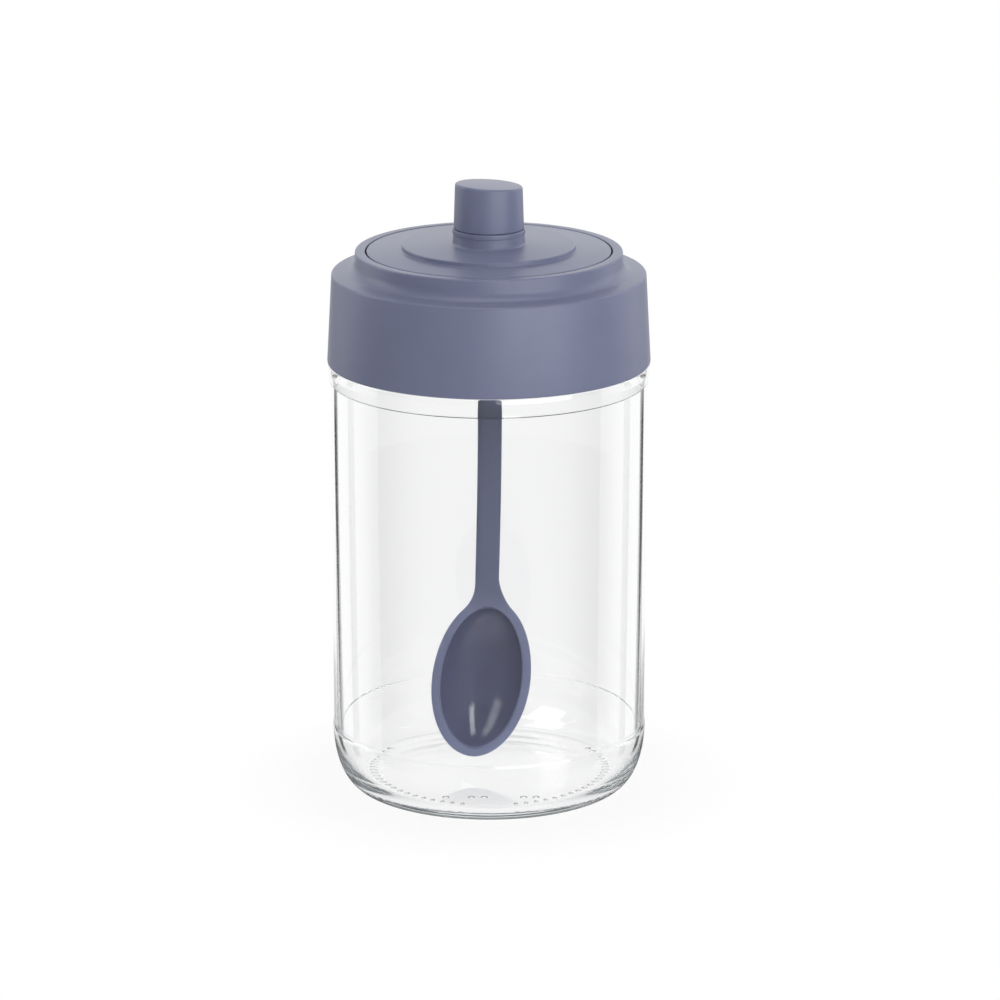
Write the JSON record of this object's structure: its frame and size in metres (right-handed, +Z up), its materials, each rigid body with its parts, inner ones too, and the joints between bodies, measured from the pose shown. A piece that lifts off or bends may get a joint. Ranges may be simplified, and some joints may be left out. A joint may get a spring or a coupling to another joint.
{
  "type": "spice jar with spoon lid",
  "caption": "Clear glass storage jar with a screw collar, a lift-out round lid with a knob, and a spoon that hangs from the lid inside the jar.",
  "frame": {"origin": "centre of the base ring that the jar stands on, on the surface it stands on", "axes": "+Z up along the jar's axis, the bowl of the spoon faces -Y"},
  "size_m": [0.0904, 0.0904, 0.1738],
  "materials": {
    "clear_glass": "clear pressed glass, fire polished",
    "slate_plastic": "satin slate-blue moulding",
    "spoon_plastic": "slate-blue moulding, glossy inside the bowl",
    "soft_seal": "soft, translucent white"
  },
  "bodies": {
    "jar": {"glass_jar": "clear_glass"},
    "gasket": {"jar_seal": "soft_seal"},
    "collar": {"screw_collar": "slate_plastic"},
    "lid_ring": {"lid_seal": "soft_seal"},
    "lid": {"lift_lid": "slate_plastic", "knob": "slate_plastic", "spoon": "spoon_plastic"}
  },
  "joints": [
    {"name": "collar_lift", "type": "slide", "parent": "jar", "child": "gasket", "axis": [0, 0, 1], "range_m": [0, 0.0051]},
    {"name": "collar_turn", "type": "hinge", "parent": "gasket", "child": "collar", "pos_m": [0, 0, 0.134], "axis": [0, 0, 1], "range_deg": [0, 360]},
    {"name": "lid_lift", "type": "slide", "parent": "collar", "child": "lid_ring", "axis": [0, 0, 1], "range_m": [0, 0.15]},
    {"name": "lid_turn", "type": "hinge", "parent": "lid_ring", "child": "lid", "pos_m": [0, 0, 0.1555], "axis": [0, 0, 1], "continuous": true}
  ],
  "couplings": [
    {"joint": "collar_lift", "follows": "collar_turn", "m_per_rad": 0.00080851}
  ]
}
